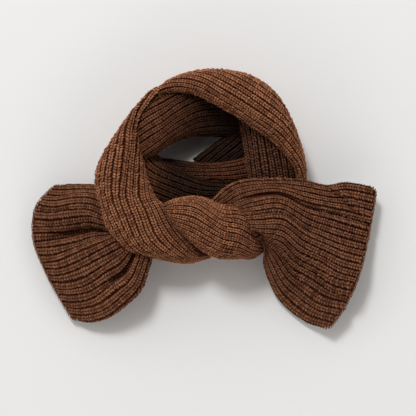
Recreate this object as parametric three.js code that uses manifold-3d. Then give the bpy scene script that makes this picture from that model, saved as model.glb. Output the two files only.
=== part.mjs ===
// A knit scarf in brown fisherman's rib, tied by pulling one end through a slot and laid flat on a table.
// Millimetres, +Z up, origin on the table under the middle of the scarf, +X towards the end on top.
// The scarf is one rectangle of ribbed cloth. Each stretch of it that shows is its own solid:
// the two ends are walls of cloth, and where the band is bunched into a strand its hidden layers
// share one rounded solid with the edges folded over.
import * as THREE from "three";
import { mergeVertices } from "three/addons/utils/BufferGeometryUtils.js";
import Module from "manifold-3d";

const CLOTH = 4.5; // thickness of the ribbed cloth between the ribs
const RIB_RISE = 1.3; // how far a rib stands out of the cloth
const RIB_DIP = 0.7; // how far the gap between two ribs sinks in
const SEAM_GAP = 0.35; // clear space between two stretches that touch
const END_ROOM = 0.1; // clear space past the hidden end of a stretch, as a share of a row
const TAIL_RIBS = 21; // ribs across the whole width of the scarf
const REST_HEIGHT = 3; // below this height the cloth is pressed flat on the table
const FADE_HEIGHT = 5; // ribs come up over this much above the rest height
const FULL_PITCH = 7; // ribs closer together than this stand out less

const BROWN = 0x86634e;
const wool = () => new THREE.MeshStandardMaterial({ color: BROWN, roughness: 0.95, metalness: 0 });

// The bunched stretches. A row is one section across the strand: the plan positions of its outer and
// inner sides, the height of its crown, which way the crown leans (-1 outer, 1 inner), the heights at
// which the two sides are widest, how far each side is tucked under as a share of the half width,
// the height of its underside, and the numbers of the ribs that lie on its inner and outer sides.
const SECTION_COLUMNS = ["outerX", "outerY", "innerX", "innerY", "crown", "lean", "outerZ", "innerZ",
  "outerTuck", "innerTuck", "base", "ribInner", "ribOuter"];

const LOOP_LEFT = [
  [8, -68, 14, -56, 24, 0.0, 10, 12, 0.3, 0.3, 0, -3.8, 3.6],
  [-21, -75, -3, -60, 33, 0.0, 15, 18, 0.3, 0.3, 0, -3.6, 6.2],
  [-52, -70, -16, -48, 44, -0.1, 18, 20, 0.3, 0.3, 0, -3.3, 8.6],
  [-90, -60, -33, -28, 51, -0.1, 18, 24, 0.3, 0.3, 0, -2.9, 10.8],
  [-117, -31, -48, -8, 54, 0.0, 18, 26, 0.3, 0.3, 0, -2.4, 12.0],
  [-128, 3, -60, 5, 53, 0.0, 18, 26, 0.3, 0.3, 0, -1.4, 11.6],
  [-130, 28, -69, 27, 51, 0.1, 18, 26, 0.3, 0.3, 0, 0.0, 11.0],
  [-124, 50, -74, 48, 49, 0.1, 18, 26, 0.3, 0.4, 0, 1.2, 10.4],
  [-112, 70, -78, 67, 47, 0.1, 18, 28, 0.3, 0.5, 0, 2.6, 9.0],
  [-98, 91, -78, 87, 45, 0.0, 18, 28, 0.3, 0.6, 0, 3.1, 7.8],
  [-82, 112, -72, 106, 43, 0.0, 18, 28, 0.3, 0.6, 0, 3.0, 6.6],
  [-64, 131, -56, 123, 38, 0.0, 16, 24, 0.3, 0.6, 0, 3.0, 5.6],
  [-46, 140, -42, 132, 30, 0.0, 14, 18, 0.3, 0.6, 0, 3.0, 5.0],
];

const LOOP_TOP = [
  [-70, 120, -64, 114, 26, 0, 12, 18, 0.3, 0.5, 0, 0, 2.3],
  [-54, 136, -46, 128, 38, 0, 16, 28, 0.3, 0.6, 0, 0, 3.9],
  [-34, 148, -26, 131, 46, 0, 18, 37, 0.3, 0.7, 0, 0, 5.8],
  [-8, 155, -6, 126, 53, 0, 18, 43, 0.3, 0.8, 0, 0, 7.8],
  [22, 156, 15, 115, 58, 0.1, 18, 46, 0.3, 0.8, 0, 0, 9.7],
  [55, 149, 38, 102, 60, 0.1, 18, 47, 0.3, 0.8, 0, 0, 11.3],
  [83, 130, 60, 87, 60, 0.1, 18, 47, 0.3, 0.8, 0, 0, 11.3],
  [101, 102, 80, 73, 57, 0.1, 18, 45, 0.3, 0.8, 0, 0, 9.7],
  [113, 72, 96, 56, 53, 0.1, 18, 42, 0.3, 0.7, 0, 0, 8.1],
  [120, 44, 109, 37, 47, 0.1, 18, 37, 0.3, 0.6, 0, 0, 6.2],
  [120, 18, 112, 14, 38, 0, 16, 28, 0.3, 0.5, 0, 0, 4.5],
  [110, -4, 102, -4, 28, 0, 12, 18, 0.3, 0.4, 0, 0, 3.9],
];

const LOOP_INNER_LEFT = [
  [-84, 116, -92, 36, 34, -0.1, 14, 18, 0.3, 0.3, 0, 0.5, 14.5],
  [-64, 126, -74, 48, 41, -0.1, 16, 24, 0.3, 0.3, 0, 0, 14],
  [-46, 135, -54, 60, 40, 0, 16, 27, 0.3, 0.3, 0, -0.6, 13.4],
  [-26, 141, -36, 71, 36, 0, 15, 25, 0.3, 0.3, 0, -1.3, 12.7],
  [0, 143, -14, 78, 29, -0.1, 12, 20, 0.3, 0.3, 0, -2, 12],
  [26, 136, 10, 78, 22, -0.2, 10, 15, 0.3, 0.3, 0, -2.6, 11.4],
  [50, 118, 34, 78, 17, -0.2, 8, 11, 0.3, 0.3, 0, -3, 9.2],
  [74, 100, 58, 82, 14, -0.2, 8, 9, 0.3, 0.3, 0, -3.2, 6.4],
];

const LOOP_INNER_RIGHT = [
  [92, 104, 42, 100, 30, 0.0, 12, 12, 0.3, 0.3, 0, 0, 9.6],
  [98, 80, 46, 80, 36, 0.0, 14, 15, 0.3, 0.3, 0, 0, 10.4],
  [106, 60, 49, 62, 39, 0.0, 16, 18, 0.3, 0.3, 0, 0, 11.2],
  [111, 42, 51, 46, 41, 0.0, 16, 20, 0.3, 0.3, 0, 0, 11.4],
  [113, 25, 54, 28, 41, 0.0, 16, 20, 0.3, 0.3, 0, 0, 11.4],
  [111, 4, 58, 8, 36, 0.0, 16, 18, 0.3, 0.3, 0, 0, 11.2],
];

const SLOT_BAND = [
  [66, 25, 66, 58, 16, 0.0, 7, 7, 0.2, 0.2, 0, 0, 8.4],
  [38, 21, 35, 49, 18, 0.0, 7, 7, 0.2, 0.2, 0, 0, 8.4],
  [12, 21, 10, 45, 18, 0.0, 7, 7, 0.2, 0.2, 0, 0, 8.4],
  [-14, 21, -14, 46, 16, 0.0, 6, 6, 0.2, 0.2, 0, 0, 8.4],
  [-42, 23, -43, 50, 13, 0.0, 6, 6, 0.2, 0.2, 0, 0, 8.4],
  [-60, 26, -62, 52, 11, 0.0, 5, 5, 0.2, 0.2, 0, 0, 8.4],
];

const SLOT_EDGE = [
  [0, 42, -14, 50, 9, 0.0, 4, 4, 0.2, 0.2, 0, 0, 4.2],
  [27, 42, 8, 66, 12, 0.0, 5, 5, 0.2, 0.2, 0, 0, 7],
  [52, 52, 28, 80, 14, 0.0, 6, 6, 0.2, 0.2, 0, 0, 8.3],
  [72, 68, 46, 96, 14, 0.0, 6, 6, 0.2, 0.2, 0, 0, 8.3],
];

const LOOP_INNER_FRONT = [
  [-92, 44, -68, 66, 22, 0, 10, 9, 0.3, 0.3, 0, 0, 7.8],
  [-84, 14, -50, 48, 29, -0.2, 12, 9, 0.3, 0.3, 0, 0, 10.9],
  [-56, -8, -20, 34, 27, -0.2, 12, 9, 0.3, 0.3, 0, 0, 12.2],
  [-26, -16, 12, 25, 23, -0.2, 11, 8, 0.3, 0.3, 0, 0, 11.9],
  [14, -12, 52, 24, 19, -0.1, 9, 8, 0.3, 0.3, 0, 0, 10.9],
];

const FRONT_WRAP = [
  [-51, -15, -48, -4, 38, 0.0, 24, 24, 0.3, 0.3, 0, 0, 9],
  [-37, -31, -30, 2, 52, 0.0, 28, 28, 0.3, 0.3, 0, 0, 11.5],
  [-18, -48, -9, 4, 60, 0.0, 24, 28, 0.3, 0.3, 0, -0.8, 13.5],
  [3, -63, 9, -1, 64, 0.0, 20, 28, 0.3, 0.3, 0, -2.6, 14.8],
  [22, -69, 23, -5, 65, 0.0, 18, 30, 0.3, 0.3, 0, -4.0, 14.6],
  [42, -69, 40, -4, 61, 0.0, 16, 29, 0.3, 0.3, 0, -4.3, 13.3],
  [58, -69, 54, -8, 53, 0.0, 15, 25, 0.3, 0.3, 0, -4.3, 11.2],
  [72, -60, 70, -16, 40, 0.0, 13, 20, 0.3, 0.3, 0, -4.3, 8.3],
];

// Creases on the bunched stretches: a trough (negative) or a ridge from one place and rib to another, with
// its depth and its half width in ribs.
const CREASE_COLUMNS = ["fromPlace", "fromRib", "toPlace", "toRib", "rise", "spread"];

const LEFT_CREASES = [
  [5.0, 5.0, 10.5, 5.0, -7, 0.45],
  [4.4, 4.0, 8.2, 4.0, -7, 0.45],
];

const TOP_CREASES = [
  [1.5, 2.0, 10.0, 2.0, -4, 0.45],
];

// The two ends of the scarf. A row is one line across all the ribs through evenly spaced points, from the
// first edge to the other one, and then how far the cloth turns down at those two edges.
const RIGHT_TAIL = [
  [[8, -4, 34], [29, -6, 43], [45, -16, 52], [55, -34, 57], [60, -39, 57], [64, -43, 57], 20, 4],
  [[37, 18, 46], [50, 4, 53], [63, -14, 62], [67, -36, 58], [70, -47, 51], [72, -56, 45], 28, 16],
  [[80, 23, 52], [87, 9, 58], [91, -12, 64], [92, -40, 57], [86, -62, 42], [74, -80, 22], 26, 12],
  [[118, 22, 40], [122, -4, 47], [121, -30, 49], [114, -58, 42], [103, -85, 26], [86, -112, 10], 14, 6],
  [[146, 17, 28], [149, -10, 34], [147, -41, 38], [139, -70, 35], [125, -100, 20], [101, -131, 6], 8, 3],
  [[172, 21, 22], [173, -15, 26], [169, -49, 29], [161, -82, 30], [147, -115, 19], [122, -146, 8], 4, 2],
  [[207, 15, 18], [201, -22, 18], [194, -56, 20], [185, -89, 27], [172, -122, 23], [150, -155, 15], 2, 2],
];

const LEFT_TAIL = [
  [[-180, 19, 6], [-203, -7, 8], [-207, -44, 8], [-195, -79, 9], [-178, -112, 9], [-159, -144, 6], 2, 3],
  [[-165, 19, 9], [-183, -9, 15], [-185, -43, 10], [-176, -78, 15], [-160, -113, 16], [-136, -145, 14], 3, 11],
  [[-148, 19, 13], [-160, -5, 25], [-160, -40, 13], [-153, -69, 20], [-138, -108, 21], [-114, -137, 22], 5, 18],
  [[-131, 18, 18], [-138, -5, 33], [-136, -35, 17], [-129, -58, 25], [-116, -93, 26], [-92, -119, 31], 6, 26],
  [[-114, 16, 24], [-119, -13, 36], [-114, -37, 22], [-107, -48, 28], [-97, -80, 29], [-77, -101, 35], 8, 30],
  [[-98, 14, 28], [-98, -20, 38], [-94, -38, 28], [-90, -46, 30], [-84, -58, 30], [-66, -66, 34], 10, 28],
];

// Folds on the two ends: a trough (negative) or a ridge along the ribs, from one place to another, given
// as shares of the length and of the width, with its depth and its half width across the ribs.
const FOLD_COLUMNS = ["fromLength", "fromWidth", "toLength", "toWidth", "rise", "spread"];

const RIGHT_FOLDS = [
  [0.02, 0.205, 1.00, 0.245, -5, 0.018],
  [0.10, 0.42, 0.60, 0.44, -4, 0.018],
  [0.30, 0.62, 1.00, 0.80, -6, 0.050],
  [0.20, 0.72, 0.70, 0.84, -7, 0.050],
  [0.66, 0.00, 0.99, 0.22, 5, 0.020],
  [0.50, 0.45, 1.00, 0.50, 3, 0.060],
];

const LEFT_FOLDS = [
  [0.08, 0.41, 1.00, 0.40, -8, 0.040],
  [0.00, 0.22, 0.70, 0.24, -4, 0.030],
  [0.20, 0.60, 0.90, 0.60, 3, 0.060],
  [0.50, 0.84, 1.00, 0.84, -9, 0.022],
  [0.30, 0.92, 1.00, 0.92, 4, 0.050],
];

const STRAND_STEPS = 2; // sections worked out between two rows of a strand
const SPREAD_STEPS = 3; // lines worked out between two rows of an end
const LOWER_RIBS = 6; // ribs on the two sides and the plain underside of a strand
const SIDE_SHARE = 0.4; // share of that way round that each side takes
const CROWN_ROUNDNESS = 0.8; // below 1 fills out the shoulders of a strand
const EDGE = 2; // points that turn down past the outermost rib at each edge of an end
const EDGE_BULGE = 0.12; // how far a turned-down edge swells out, as a share of its drop
const EDGE_FLARE = 0.02; // how far its lowest point stands out, as a share of its drop
const EDGE_LOWEST = 2.7; // height of the lowest edge above the table
const PLAIN_STEP = 4; // the plain inside of an end has a point for every so many points outside
const CORNER = 5; // radius of the two corners of a hem
const FOLD_ENDS = 4; // a fold rises over its length divided by this, at each end
const MERGE = 1e-3; // points closer than this are one point

const named = (columns, rows) =>
  rows.map((row) => Object.fromEntries(columns.map((name, i) => [name, row[i]])));
const namedPoints = (rows) => rows.map((row) => ({
  ...Object.fromEntries(row.slice(0, -2).flatMap(([x, y, z], i) => [["x" + i, x], ["y" + i, y], ["z" + i, z]])),
  firstTurn: row.at(-2),
  lastTurn: row.at(-1),
}));
const mix = (a, b, t) => a + (b - a) * t;
const clamp = (value, low, high) => Math.min(high, Math.max(low, value));
const smooth = (t) => t * t * (3 - 2 * t);
const wrap = (value, size) => ((value % size) + size) % size;

// A smooth curve through four neighbouring values, between the middle two.
function between(a, b, c, d, t) {
  return 0.5 * (2 * b + (c - a) * t + (2 * a - 5 * b + 4 * c - d) * t * t
    + (3 * b - a - 3 * c + d) * t * t * t);
}

// The row at a place along a table, with each column drawn smoothly through its neighbours.
function rowAt(rows, place) {
  const last = rows.length - 1;
  const i = clamp(Math.floor(place), 0, last - 1);
  const t = place - i;
  const row = {};
  for (const name of Object.keys(rows[0])) {
    const b = rows[i][name];
    const c = rows[i + 1][name];
    const a = i > 0 ? rows[i - 1][name] : 2 * b - c;
    const d = i + 2 <= last ? rows[i + 2][name] : 2 * c - b;
    row[name] = between(a, b, c, d, t);
  }
  return row;
}

// A point of a strand's section: share 0 to 1 goes over the top from the inner side to the outer one,
// and 1 to 2 goes down the outer side, along the flat underside and up the inner side.
function strandPoint(row, share) {
  let across;
  let z;
  if (share <= 1) {
    const angle = Math.PI * share;
    const side = mix(row.innerZ, row.outerZ, share);
    across = -Math.cos(angle) - row.lean * Math.sin(angle) ** 2;
    z = side + (row.crown - side) * Math.pow(Math.sin(angle), CROWN_ROUNDNESS);
  } else {
    const outer = share < 1.5;
    const fromSide = outer ? share - 1 : 2 - share;
    const turn = Math.min(fromSide / SIDE_SHARE, 1) * Math.PI / 2;
    const flat = clamp((fromSide - SIDE_SHARE) / (0.5 - SIDE_SHARE), 0, 1);
    const tuck = outer ? row.outerTuck : row.innerTuck;
    across = (outer ? 1 : -1) * (1 - tuck * (1 - Math.cos(turn))) * (1 - flat);
    z = mix(outer ? row.outerZ : row.innerZ, row.base, Math.sin(turn));
  }
  const towardsOuter = (1 + across) / 2;
  return new THREE.Vector3(
    mix(row.innerX, row.outerX, towardsOuter),
    mix(row.innerY, row.outerY, towardsOuter),
    z,
  );
}

// The closed mesh of rings of points, each ring joined to the next, with its two ends filled in.
function closedRings(rings) {
  const round = rings[0].length;
  const points = rings.flat();
  const faces = [];
  for (let j = 0; j + 1 < rings.length; j++) {
    for (let i = 0; i < round; i++) {
      const a = j * round + i;
      const b = j * round + ((i + 1) % round);
      faces.push(a, b, b + round, a, b + round, a + round);
    }
  }
  for (const [ring, turned] of [[0, true], [rings.length - 1, false]]) {
    const middle = rings[ring].reduce((sum, p) => sum.add(p), new THREE.Vector3())
      .divideScalar(round);
    points.push(middle);
    for (let i = 0; i < round; i++) {
      const a = ring * round + i;
      const b = ring * round + ((i + 1) % round);
      faces.push(...(turned ? [b, a, points.length - 1] : [a, b, points.length - 1]));
    }
  }
  return { points, faces };
}

// The places along a table where its lines are worked out, with one more past each end of a grown solid.
function placesAlong(rows, steps, grow) {
  const last = rows.length - 1;
  const places = Array.from({ length: last * steps + 1 }, (_, j) => j / steps);
  return grow ? [-END_ROOM, ...places, last + END_ROOM] : places;
}

// The height that the creases add at a place and a rib of a bunched stretch.
function creaseRise(creases, place, rib) {
  let rise = 0;
  for (const crease of creases) {
    const along = (place - crease.fromPlace) / (crease.toPlace - crease.fromPlace);
    const fade = smooth(clamp(FOLD_ENDS * Math.min(along, 1 - along), 0, 1));
    const off = (rib - mix(crease.fromRib, crease.toRib, along)) / crease.spread;
    rise += crease.rise * fade * Math.exp(-off * off);
  }
  return rise;
}

function strandMesh(table, creaseTable, grow) {
  const rows = named(SECTION_COLUMNS, table);
  const creases = named(CREASE_COLUMNS, creaseTable);
  const most = Math.max(...rows.map((row) => row.ribOuter - row.ribInner));
  const ribs = Math.ceil(most) + LOWER_RIBS;
  const rings = [];
  for (const place of placesAlong(rows, STRAND_STEPS, grow)) {
    const row = rowAt(rows, place);
    const shown = row.ribOuter - row.ribInner;
    const centre = strandPoint(row, 0.5).lerp(strandPoint(row, 1.5), 0.5);
    const ring = [];
    for (let i = 0; i < 2 * ribs; i++) {
      const past = wrap(i / 2 - row.ribInner, ribs);
      const share = past <= shown ? past / shown : 1 + (past - shown) / (ribs - shown);
      const point = strandPoint(row, share);
      const outwards = point.clone().sub(centre).normalize();
      const raised = smooth(clamp((point.z - REST_HEIGHT) / FADE_HEIGHT, 0, 1));
      const relief = i % 2 ? RIB_RISE : -RIB_DIP;
      if (share <= 1) point.z += creaseRise(creases, place, past + row.ribInner);
      point.addScaledVector(outwards, relief * raised);
      if (grow) point.addScaledVector(outwards, grow);
      ring.push(point);
    }
    rings.push(ring);
  }
  return closedRings(rings);
}

// The height that the folds add at a place on an end of the scarf.
function foldRise(folds, length, width) {
  let rise = 0;
  for (const fold of folds) {
    const along = (length - fold.fromLength) / (fold.toLength - fold.fromLength);
    const middle = mix(fold.fromWidth, fold.toWidth, clamp(along, 0, 1));
    const fromEnd = Math.min(along, fold.toLength >= 1 ? 1 : 1 - along);
    const fade = smooth(clamp(FOLD_ENDS * fromEnd, 0, 1));
    const off = (width - middle) / fold.spread;
    rise += fold.rise * fade * Math.exp(-off * off);
  }
  return rise;
}

// A wall of cloth spread over rows of points: its ribbed outer points over a plain inside.
function spreadMesh(table, foldTable, hemLast, grow) {
  const rows = namedPoints(table);
  const count = table[0].length - 2;
  const folds = named(FOLD_COLUMNS, foldTable);
  const grid = [];
  for (const place of placesAlong(rows, SPREAD_STEPS, grow)) {
    const row = rowAt(rows, place);
    const across = Array.from({ length: count }, (_, i) => ({
      x: row["x" + i], y: row["y" + i], z: row["z" + i],
    }));
    const line = [];
    for (let i = 0; i <= 2 * TAIL_RIBS; i++) {
      const width = i / (2 * TAIL_RIBS);
      const at = rowAt(across, (count - 1) * width);
      const z = at.z + foldRise(folds, place / (rows.length - 1), width);
      line.push(new THREE.Vector3(at.x, at.y, Math.max(z, CLOTH)));
    }
    const turnDown = (edge, next, drop) => {
      const out = edge.clone().sub(next).setZ(0).normalize();
      const low = Math.max(edge.z - drop, EDGE_LOWEST);
      return [
        edge.clone().addScaledVector(out, EDGE_BULGE * drop).setZ(mix(edge.z, low, 0.5)),
        edge.clone().addScaledVector(out, EDGE_FLARE * drop).setZ(low),
      ];
    };
    const [a1, a2] = turnDown(line[0], line[2], row.firstTurn);
    const [d1, d2] = turnDown(line[line.length - 1], line[line.length - 3], row.lastTurn);
    grid.push([a2, a1, ...line, d1, d2]);
  }
  if (!grow) roundCorners(grid, hemLast);
  return wallOf(grid, grow);
}

// Draws the hem's corners back along the ribs into round ones.
function roundCorners(grid, hemLast) {
  const hem = grid[hemLast ? grid.length - 1 : 0];
  const next = grid[hemLast ? grid.length - 2 : 1];
  const ends = [hem[0].clone(), hem[hem.length - 1].clone()];
  hem.forEach((point, i) => {
    const near = Math.min(...ends.map((end) => end.distanceTo(point)));
    if (near >= CORNER) return;
    const back = CORNER - Math.sqrt(CORNER ** 2 - (CORNER - near) ** 2);
    point.addScaledVector(next[i].clone().sub(point).normalize(), back);
  });
}

// A closed wall under a grid of points: the points and their ribs outside, and a plain inside.
function wallOf(grid, grow) {
  const lines = grid.length;
  const count = grid[0].length;
  const kept = [0];
  for (let i = EDGE + PLAIN_STEP; i < count - EDGE - PLAIN_STEP; i += PLAIN_STEP) kept.push(i);
  kept.push(count - 1);
  const outside = [];
  const inside = [];
  for (let j = 0; j < lines; j++) {
    for (let i = 0; i < count; i++) {
      const along = grid[Math.min(j + 1, lines - 1)][i].clone()
        .sub(grid[Math.max(j - 1, 0)][i]);
      const across = grid[j][Math.min(i + 2, count - 1)].clone()
        .sub(grid[j][Math.max(i - 2, 0)]);
      const outwards = across.cross(along).normalize();
      const turned = i < EDGE || i >= count - EDGE;
      const pitch = grid[j][Math.min(i + 1, count - 1)].distanceTo(grid[j][Math.max(i - 1, 0)]);
      const raised = turned ? 0 : smooth(clamp(pitch / FULL_PITCH, 0, 1));
      const relief = raised * ((i - EDGE) % 2 ? RIB_RISE : -RIB_DIP);
      const point = grid[j][i].clone();
      if (i === 0 || i === count - 1) point.z -= grow;
      outside.push(point.clone().addScaledVector(outwards, relief + grow));
      if (!kept.includes(i)) continue;
      point.addScaledVector(outwards, -CLOTH - grow);
      inside.push(point.setZ(Math.max(point.z, -grow)));
    }
  }
  const faces = [];
  const quad = (a, b, c, d) => faces.push(a, b, c, a, c, d);
  const size = outside.length;
  const out = (j, i) => j * count + i;
  const plain = (j, k) => size + j * kept.length + k;
  for (let j = 0; j + 1 < lines; j++) {
    for (let i = 0; i + 1 < count; i++) {
      quad(out(j, i), out(j + 1, i), out(j + 1, i + 1), out(j, i + 1));
    }
    for (let k = 0; k + 1 < kept.length; k++) {
      quad(plain(j, k), plain(j, k + 1), plain(j + 1, k + 1), plain(j + 1, k));
    }
    const last = kept.length - 1;
    quad(plain(j, 0), plain(j + 1, 0), out(j + 1, 0), out(j, 0));
    quad(out(j, count - 1), out(j + 1, count - 1), plain(j + 1, last), plain(j, last));
  }
  for (let k = 0; k + 1 < kept.length; k++) {
    const middle = Math.floor((kept[k] + kept[k + 1]) / 2);
    for (const [j, near, far] of [[0, k, k + 1], [lines - 1, k + 1, k]]) {
      faces.push(plain(j, near), out(j, middle), plain(j, far));
      for (let i = kept[k]; i < kept[k + 1]; i++) {
        const corner = plain(j, i < middle ? k : k + 1);
        faces.push(...(j ? [corner, out(j, i + 1), out(j, i)] : [corner, out(j, i), out(j, i + 1)]));
      }
    }
  }
  return { points: [...outside, ...inside], faces };
}

const wasm = await Module();
wasm.setup();

// A closed mesh as a solid that can be joined and cut, with its faces turned outwards.
function solidOf({ points, faces }) {
  const geometry = new THREE.BufferGeometry()
    .setAttribute("position", new THREE.Float32BufferAttribute(
      points.flatMap((p) => [p.x, p.y, p.z]), 3))
    .setIndex(faces);
  const merged = mergeVertices(geometry, MERGE);
  const triVerts = new Uint32Array(merged.index.array);
  const asSolid = () => new wasm.Manifold(new wasm.Mesh({
    numProp: 3,
    vertProperties: merged.attributes.position.array,
    triVerts,
  }));
  const solid = asSolid();
  if (solid.volume() > 0) return solid;
  triVerts.reverse();
  return asSolid();
}

// What stays of a solid in one piece after its neighbours on top are cut out of it.
function cutBy(solid, ...neighbours) {
  const bodies = neighbours.reduce((rest, other) => rest.subtract(other), solid).decompose();
  return bodies.sort((a, b) => b.volume() - a.volume())[0];
}

function meshOf(name, solid) {
  const { vertProperties, triVerts } = solid.getMesh();
  const geometry = new THREE.BufferGeometry()
    .setAttribute("position", new THREE.BufferAttribute(vertProperties, 3))
    .setIndex(new THREE.BufferAttribute(triVerts, 1));
  const mesh = new THREE.Mesh(geometry, wool());
  mesh.name = name;
  return mesh;
}

const strand = (table, creases = []) => ({
  solid: solidOf(strandMesh(table, creases, 0)),
  grown: solidOf(strandMesh(table, creases, SEAM_GAP)),
});
const spread = (table, folds, hemLast) => ({
  solid: solidOf(spreadMesh(table, folds, hemLast, 0)),
  grown: solidOf(spreadMesh(table, folds, hemLast, SEAM_GAP)),
});

// From the top of the heap down: each stretch is cut by those that lie over it.
const order = [
  ["right_tail", spread(RIGHT_TAIL, RIGHT_FOLDS, true)],
  ["front_wrap", strand(FRONT_WRAP)],
  ["loop_left", strand(LOOP_LEFT, LEFT_CREASES)],
  ["loop_top", strand(LOOP_TOP, TOP_CREASES)],
  ["loop_inner_left", strand(LOOP_INNER_LEFT)],
  ["loop_inner_right", strand(LOOP_INNER_RIGHT)],
  ["loop_inner_front", strand(LOOP_INNER_FRONT)],
  ["slot_band", strand(SLOT_BAND)],
  ["slot_edge", strand(SLOT_EDGE)],
  ["left_tail", spread(LEFT_TAIL, LEFT_FOLDS, false)],
];

const scarf = new THREE.Group();
const above = [];
for (const [name, { solid, grown }] of order) {
  scarf.add(meshOf(name, cutBy(solid, ...above)));
  above.push(grown);
}

export default scarf;
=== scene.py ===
import bpy
import numpy as np
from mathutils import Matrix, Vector
from mathutils.bvhtree import BVHTree


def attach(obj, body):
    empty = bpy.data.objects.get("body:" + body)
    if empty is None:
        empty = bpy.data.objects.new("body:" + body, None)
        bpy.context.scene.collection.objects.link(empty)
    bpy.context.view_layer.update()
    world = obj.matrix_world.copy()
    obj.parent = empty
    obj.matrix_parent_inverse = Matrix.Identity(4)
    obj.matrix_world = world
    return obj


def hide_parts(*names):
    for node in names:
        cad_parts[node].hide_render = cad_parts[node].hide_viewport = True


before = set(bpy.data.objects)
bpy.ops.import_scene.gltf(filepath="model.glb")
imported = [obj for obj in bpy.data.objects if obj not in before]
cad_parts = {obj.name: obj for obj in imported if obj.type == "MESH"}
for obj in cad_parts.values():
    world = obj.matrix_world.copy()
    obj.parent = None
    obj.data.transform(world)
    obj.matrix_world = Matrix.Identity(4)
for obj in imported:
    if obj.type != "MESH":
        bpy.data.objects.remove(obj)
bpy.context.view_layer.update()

# The end on top: 21 ribs of thick brown wool, the full width of the scarf, knitted in one with the rest of
# the band and bound off at its hem. It comes from behind and from under the front wrap, flows on from its
# ribs, and is spread out to the right.
END_ROWS = [
    # one line across the ribs through six points, then the drop of the cloth at the first and last edge
    [(8, -4, 34), (29, -6, 43), (45, -16, 52), (55, -34, 57), (60, -39, 57), (64, -43, 57), 20, 4],
    [(37, 18, 46), (50, 4, 53), (63, -14, 62), (67, -36, 58), (70, -47, 51), (72, -56, 45), 28, 16],
    [(80, 23, 52), (87, 9, 58), (91, -12, 64), (92, -40, 57), (86, -62, 42), (74, -80, 22), 26, 12],
    [(118, 22, 40), (122, -4, 47), (121, -30, 49), (114, -58, 42), (103, -85, 26), (86, -112, 10), 14, 6],
    [(146, 17, 28), (149, -10, 34), (147, -41, 38), (139, -70, 35), (125, -100, 20), (101, -131, 6), 8, 3],
    [(172, 21, 22), (173, -15, 26), (169, -49, 29), (161, -82, 30), (147, -115, 19), (122, -146, 8), 4, 2],
    [(207, 15, 18), (201, -22, 18), (194, -56, 20), (185, -89, 27), (172, -122, 23), (150, -155, 15), 2, 2],
]
END_FOLDS = [
    # from length, from width, to length, to width (shares), rise, half width as a share
    [0.02, 0.205, 1.00, 0.245, -5, 0.018],
    [0.10, 0.42, 0.60, 0.44, -4, 0.018],
    [0.30, 0.62, 1.00, 0.80, -6, 0.050],
    [0.20, 0.72, 0.70, 0.84, -7, 0.050],
    [0.66, 0.00, 0.99, 0.22, 5, 0.020],
    [0.50, 0.45, 1.00, 0.50, 3, 0.060],
]


def curve(a, b, c, d, t):
    """A smooth curve from b to c, at shares t of the way, that comes from a and goes on to d."""
    return 0.5 * (2 * b + (c - a) * t + (2 * a - 5 * b + 4 * c - d) * t**2
                  + (3 * b - a - 3 * c + d) * t**3)


def along_rows(rows, places):
    """Every column of a table, drawn smoothly through its rows at these places."""
    rows = np.asarray(rows, float)
    last = len(rows) - 1
    i = np.clip(np.floor(places).astype(int), 0, last - 1)
    t = (places - i)[:, None]
    b, c = rows[i], rows[i + 1]
    a = np.where((i > 0)[:, None], rows[np.maximum(i - 1, 0)], 2 * b - c)
    d = np.where((i + 2 <= last)[:, None], rows[np.minimum(i + 2, last)], 2 * c - b)
    return curve(a, b, c, d, t)


def smooth(t):
    """From 0 to 1 with a soft start and a soft end."""
    t = np.clip(t, 0, 1)
    return t * t * (3 - 2 * t)


def mix(a, b, t):
    """What lies between a and b, at share t of the way."""
    return a + (b - a) * t


# Four waves, with their lengths in ribs across the cloth and in rows of the table along it.
WAVES_ACROSS = np.array([2.3, 3.1, 4.7, 9.5])[:, None, None]
WAVES_ALONG = np.array([5.3, -8.7, 11.3, -6.1])[:, None, None]
UNEVEN_SHIFT = 0.15
UNEVEN_RISE = 1.0


def uneven(places, ribs, seed):
    """How much a hand-laid rib wanders sideways (in ribs) and up (in millimetres) along the cloth."""
    count = len(WAVES_ACROSS)
    waves = np.random.default_rng(seed).uniform(0, 2 * np.pi, (2, count))
    across = 2 * np.pi * ribs / WAVES_ACROSS
    along = 2 * np.pi * places[:, None] / WAVES_ALONG
    shift, rise = (np.sin(across + along + wave[:, None, None]).sum(axis=0) / count for wave in waves)
    return UNEVEN_SHIFT * shift, UNEVEN_RISE * rise


# A fold comes up over a quarter of its length, and ends the same way unless it runs on to the last row.
FOLD_FADE = 4


def fold_rise(folds, length, width):
    """The height that folds add on an end of the scarf."""
    rise = 0
    for from_length, from_width, to_length, to_width, height, spread in folds:
        along = (length - from_length) / (to_length - from_length)
        middle = mix(from_width, to_width, np.clip(along, 0, 1))
        from_end = np.minimum(along, 1 if to_length >= 1 else 1 - along)
        rise = rise + height * smooth(FOLD_FADE * from_end) * np.exp(-(((width - middle) / spread) ** 2))
    return rise


def unit(vectors):
    """The same directions, each with length one."""
    return vectors / np.maximum(np.linalg.norm(vectors, axis=-1, keepdims=True), 1e-9)


BAND_RIBS = 21
CLOTH = 4.5
# The side edges turn down over two ribs and swell outwards, and stop a little above the table.
EDGE_RIBS = 2
EDGE_SWELL = 0.36
EDGE_SPREAD = 0.02
EDGE_TURN = 1.3
EDGE_LEAST = 0.6 * CLOTH
# The outermost ribs hardly wander, and low cloth lies flatter than raised cloth.
STEADY_RIBS = 2
LOOSE_HEIGHT = 12
HEM_CORNER = 6


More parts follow.
